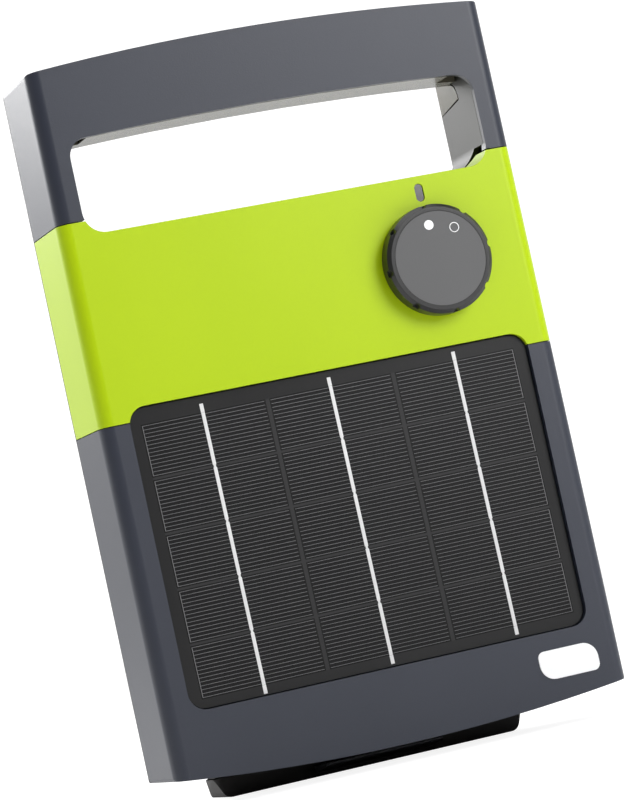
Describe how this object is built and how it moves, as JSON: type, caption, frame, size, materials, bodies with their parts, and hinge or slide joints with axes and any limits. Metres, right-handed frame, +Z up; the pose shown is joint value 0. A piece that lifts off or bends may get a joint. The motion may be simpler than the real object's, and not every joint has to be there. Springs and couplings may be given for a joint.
{
  "type": "fence energizer",
  "caption": "Solar electric-fence energizer in a carry-handle housing with a front panel, rotary switch, rear terminals and post rail.",
  "frame": {"origin": "middle of the bounding box, on the ground that the foot stands on", "axes": "+X to the right seen from the front, +Y to the rear, +Z up"},
  "size_m": [0.1864, 0.114, 0.2893],
  "materials": {
    "slate_housing": "satin moulded, fine spark texture",
    "lime_band": "semi-gloss moulded",
    "black_housing": "matte moulded, fine texture",
    "black_foot": "matte moulded",
    "knob_grey": "satin moulded",
    "cap_grey": "fine matte grain",
    "white_print": "printed",
    "panel_laminate": "fine orange-peel laminate",
    "silicon": "dark silicon with fine print lines",
    "ribbon": "tinned copper",
    "backsheet": "black sheet",
    "seal_rubber": "matte",
    "zinc_steel": "zinc plated",
    "brass": "machined",
    "smoke_lens": "smoked translucent",
    "led_clear": "clear tinted epoxy",
    "board_green": "solder mask",
    "capacitor_case": "dipped film capacitor",
    "ferrite": "ground laminations",
    "copper_winding": "enamelled copper",
    "chip_black": "moulded epoxy",
    "heat_sink_metal": "extruded",
    "socket_ivory": "nylon",
    "switch_blue": "nylon",
    "rotor_ivory": "acetal",
    "battery_grey": "moulded case",
    "lead_plates": "lead plates in absorbed acid",
    "lead_insulation": "pvc insulation",
    "foam": "closed cell foam",
    "fence_red": "moulded",
    "earth_green": "moulded"
  },
  "bodies": {
    "housing": {"front_shell": "slate_housing", "colour_band": "lime_band", "rear_shell": "black_housing", "handle_back": "black_housing", "housing_seal": "seal_rubber", "housing_screws": "zinc_steel", "panel_cover": "panel_laminate", "panel_cells": "silicon", "panel_ribbons": "ribbon", "panel_backing": "backsheet", "panel_seal": "seal_rubber", "panel_leads": "lead_insulation", "spindle_ring": "seal_rubber", "switch_body": "switch_blue", "status_lens": "smoke_lens", "status_led": "led_clear", "main_board": "board_green", "board_screws": "zinc_steel", "storage_capacitor": "capacitor_case", "transformer_core": "ferrite", "transformer_winding": "copper_winding", "thyristor": "chip_black", "heat_sink": "heat_sink_metal", "board_sockets": "socket_ivory", "battery_case": "battery_grey", "battery_plates": "lead_plates", "battery_tabs": "zinc_steel", "battery_leads": "lead_insulation", "battery_pad": "foam", "foot": "black_foot", "foot_tongue": "black_housing", "foot_screws": "zinc_steel", "badge": "white_print", "fence_seat": "fence_red", "fence_stud": "brass", "fence_nut": "brass", "earth_seat": "earth_green", "earth_stud": "brass", "earth_nut": "brass"},
    "knob": {"knob_skirt": "knob_grey", "knob_cap": "cap_grey", "knob_marks": "white_print", "knob_spindle": "zinc_steel", "switch_rotor": "rotor_ivory"},
    "fence_washer": {"fence_washer": "zinc_steel"},
    "fence_knob": {"fence_knob": "fence_red"},
    "earth_washer": {"earth_washer": "zinc_steel"},
    "earth_knob": {"earth_knob": "earth_green"}
  },
  "joints": [
    {"name": "knob_turn", "type": "hinge", "parent": "housing", "child": "knob", "pos_m": [0.0513, -0.057, 0.1866], "axis": [0, 1, 0], "range_deg": [-37, 8]},
    {"name": "fence_washer_slide", "type": "slide", "parent": "housing", "child": "fence_washer", "axis": [0, 1, 0], "range_m": [0, 0.0031]},
    {"name": "fence_knob_turn", "type": "hinge", "parent": "fence_washer", "child": "fence_knob", "pos_m": [-0.045, 0.036, 0.178], "axis": [0, 1, 0], "range_deg": [0, 1080]},
    {"name": "earth_washer_slide", "type": "slide", "parent": "housing", "child": "earth_washer", "axis": [0, 1, 0], "range_m": [0, 0.0031]},
    {"name": "earth_knob_turn", "type": "hinge", "parent": "earth_washer", "child": "earth_knob", "pos_m": [0.045, 0.036, 0.178], "axis": [0, 1, 0], "range_deg": [0, 1080]}
  ],
  "couplings": [
    {"joint": "fence_washer_slide", "follows": "fence_knob_turn", "m_per_rad": 0.00015915},
    {"joint": "earth_washer_slide", "follows": "earth_knob_turn", "m_per_rad": 0.00015915}
  ]
}
